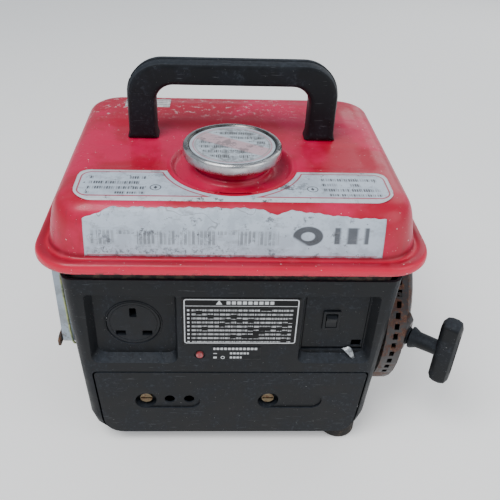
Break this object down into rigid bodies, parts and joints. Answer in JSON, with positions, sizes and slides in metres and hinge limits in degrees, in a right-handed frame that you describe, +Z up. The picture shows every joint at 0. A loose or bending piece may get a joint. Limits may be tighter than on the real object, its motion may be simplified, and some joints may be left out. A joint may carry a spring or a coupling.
{
  "type": "portable generator",
  "caption": "Portable two-stroke petrol generator with a pressed tank on top, a carry handle, a black control box with a mains outlet, a tool cover and a recoil starter.",
  "frame": {"origin": "middle of the bounding box on the ground, under the feet", "axes": "+X along the crankshaft towards the hand starter, +Y from the control panel to the silencer, +Z up"},
  "size_m": [0.3538, 0.287, 0.324],
  "materials": {
    "tank_paint": "gloss",
    "moulded_black": "satin",
    "button_red": "satin",
    "black_steel": "satin",
    "cap_metal": "satin",
    "cast_alloy": "cast",
    "bright_steel": "satin",
    "rusty_steel": "rough",
    "brass_fittings": "worn",
    "black_rubber": "matt",
    "pale_cover": "satin",
    "winding_copper": "varnished",
    "rope": "woven",
    "foam": "open cell",
    "ceramic": "glazed"
  },
  "bodies": {
    "frame": {"air_cleaner_case": "pale_cover", "air_cleaner_cover": "pale_cover", "air_filter_foam": "foam", "alternator_cover": "cast_alloy", "base_tray": "black_steel", "bearing_left": "bright_steel", "bearing_right": "bright_steel", "breaker_body": "moulded_black", "carburettor": "cast_alloy", "carry_handle": "moulded_black", "connecting_rod": "bright_steel", "control_box": "moulded_black", "crankcase": "cast_alloy", "cylinder": "cast_alloy", "cylinder_head": "cast_alloy", "engine_mount": "black_rubber", "exhaust_elbow": "rusty_steel", "fan_shroud": "black_steel", "filler_neck": "tank_paint", "foot_back_left": "black_rubber", "foot_back_right": "black_rubber", "foot_front_left": "black_rubber", "foot_front_right": "black_rubber", "fuel_hose": "black_rubber", "fuel_tap_body": "brass_fittings", "ignition_coil": "moulded_black", "ignition_lead": "black_rubber", "intake_pipe": "cast_alloy", "outlet_socket": "moulded_black", "piston": "cast_alloy", "plug_cap": "black_rubber", "recoil_cover": "black_steel", "recoil_spring": "bright_steel", "rocker_switch_body": "moulded_black", "rope_guide": "moulded_black", "silencer": "rusty_steel", "silencer_guard": "black_steel", "spark_plug": "ceramic", "starter_rope": "rope", "stator": "winding_copper", "switch_plate": "moulded_black", "tank_lower_shell": "tank_paint", "tank_stay_left": "black_steel", "tank_stay_right": "black_steel", "tank_upper_shell": "tank_paint"},
    "cap_seal": {"cap_gasket": "black_rubber"},
    "cap": {"fuel_cap": "cap_metal"},
    "cover": {"tool_cover": "moulded_black"},
    "screw_left": {"cover_screw_left": "brass_fittings"},
    "screw_right": {"cover_screw_right": "brass_fittings"},
    "rocker": {"rocker_button": "moulded_black"},
    "breaker": {"breaker_button": "button_red"},
    "crank": {"crankshaft": "bright_steel", "flywheel_fan": "cast_alloy", "rotor": "rusty_steel"},
    "reel": {"starter_reel": "moulded_black", "rope_winding": "rope"},
    "grip": {"starter_grip": "moulded_black"},
    "choke": {"choke_lever": "rusty_steel"},
    "tap_lever": {"fuel_tap_lever": "button_red"}
  },
  "joints": [
    {"name": "cap_lift", "type": "slide", "parent": "frame", "child": "cap_seal", "axis": [0, 0, 1], "range_m": [0, 0.06]},
    {"name": "cap_turn", "type": "hinge", "parent": "cap_seal", "child": "cap", "pos_m": [-0.02294, -0.0575, 0.27], "axis": [0, 0, 1], "continuous": true},
    {"name": "cover_off", "type": "slide", "parent": "frame", "child": "cover", "axis": [0, -1, 0], "range_m": [0, 0.06]},
    {"name": "screw_left_turn", "type": "hinge", "parent": "cover", "child": "screw_left", "pos_m": [-0.09604, -0.1265, 0.0556], "axis": [0, 1, 0], "continuous": true},
    {"name": "screw_right_turn", "type": "hinge", "parent": "cover", "child": "screw_right", "pos_m": [0.01346, -0.1265, 0.0556], "axis": [0, 1, 0], "continuous": true},
    {"name": "rocker_tip", "type": "hinge", "parent": "frame", "child": "rocker", "pos_m": [0.06156, -0.12, 0.1455], "axis": [1, 0, 0], "range_deg": [-20, 0]},
    {"name": "breaker_press", "type": "slide", "parent": "frame", "child": "breaker", "axis": [0, 1, 0], "range_m": [0, 0.0025], "stiffness_N_per_m": 400},
    {"name": "crank_turn", "type": "hinge", "parent": "frame", "child": "crank", "pos_m": [0.04006, -0.0205, 0.107], "axis": [1, 0, 0], "continuous": true},
    {"name": "reel_spin", "type": "hinge", "parent": "frame", "child": "reel", "pos_m": [0.13506, -0.0205, 0.107], "axis": [1, 0, 0], "range_deg": [0, 660]},
    {"name": "starter_pull", "type": "slide", "parent": "frame", "child": "grip", "axis": [0.8192, -0.5736, 0], "range_m": [0, 0.45], "stiffness_N_per_m": 25, "springref_m": -0.02},
    {"name": "choke_turn", "type": "hinge", "parent": "frame", "child": "choke", "pos_m": [-0.17194, -0.0865, 0.1], "axis": [1, 0, 0], "range_deg": [-30, 35]},
    {"name": "fuel_tap_turn", "type": "hinge", "parent": "frame", "child": "tap_lever", "pos_m": [-0.12094, 0.0395, 0.1847], "axis": [1, 0, 0], "range_deg": [0, 90]}
  ],
  "couplings": [
    {"joint": "reel_spin", "follows": "starter_pull", "rad_per_m": 25.253}
  ]
}
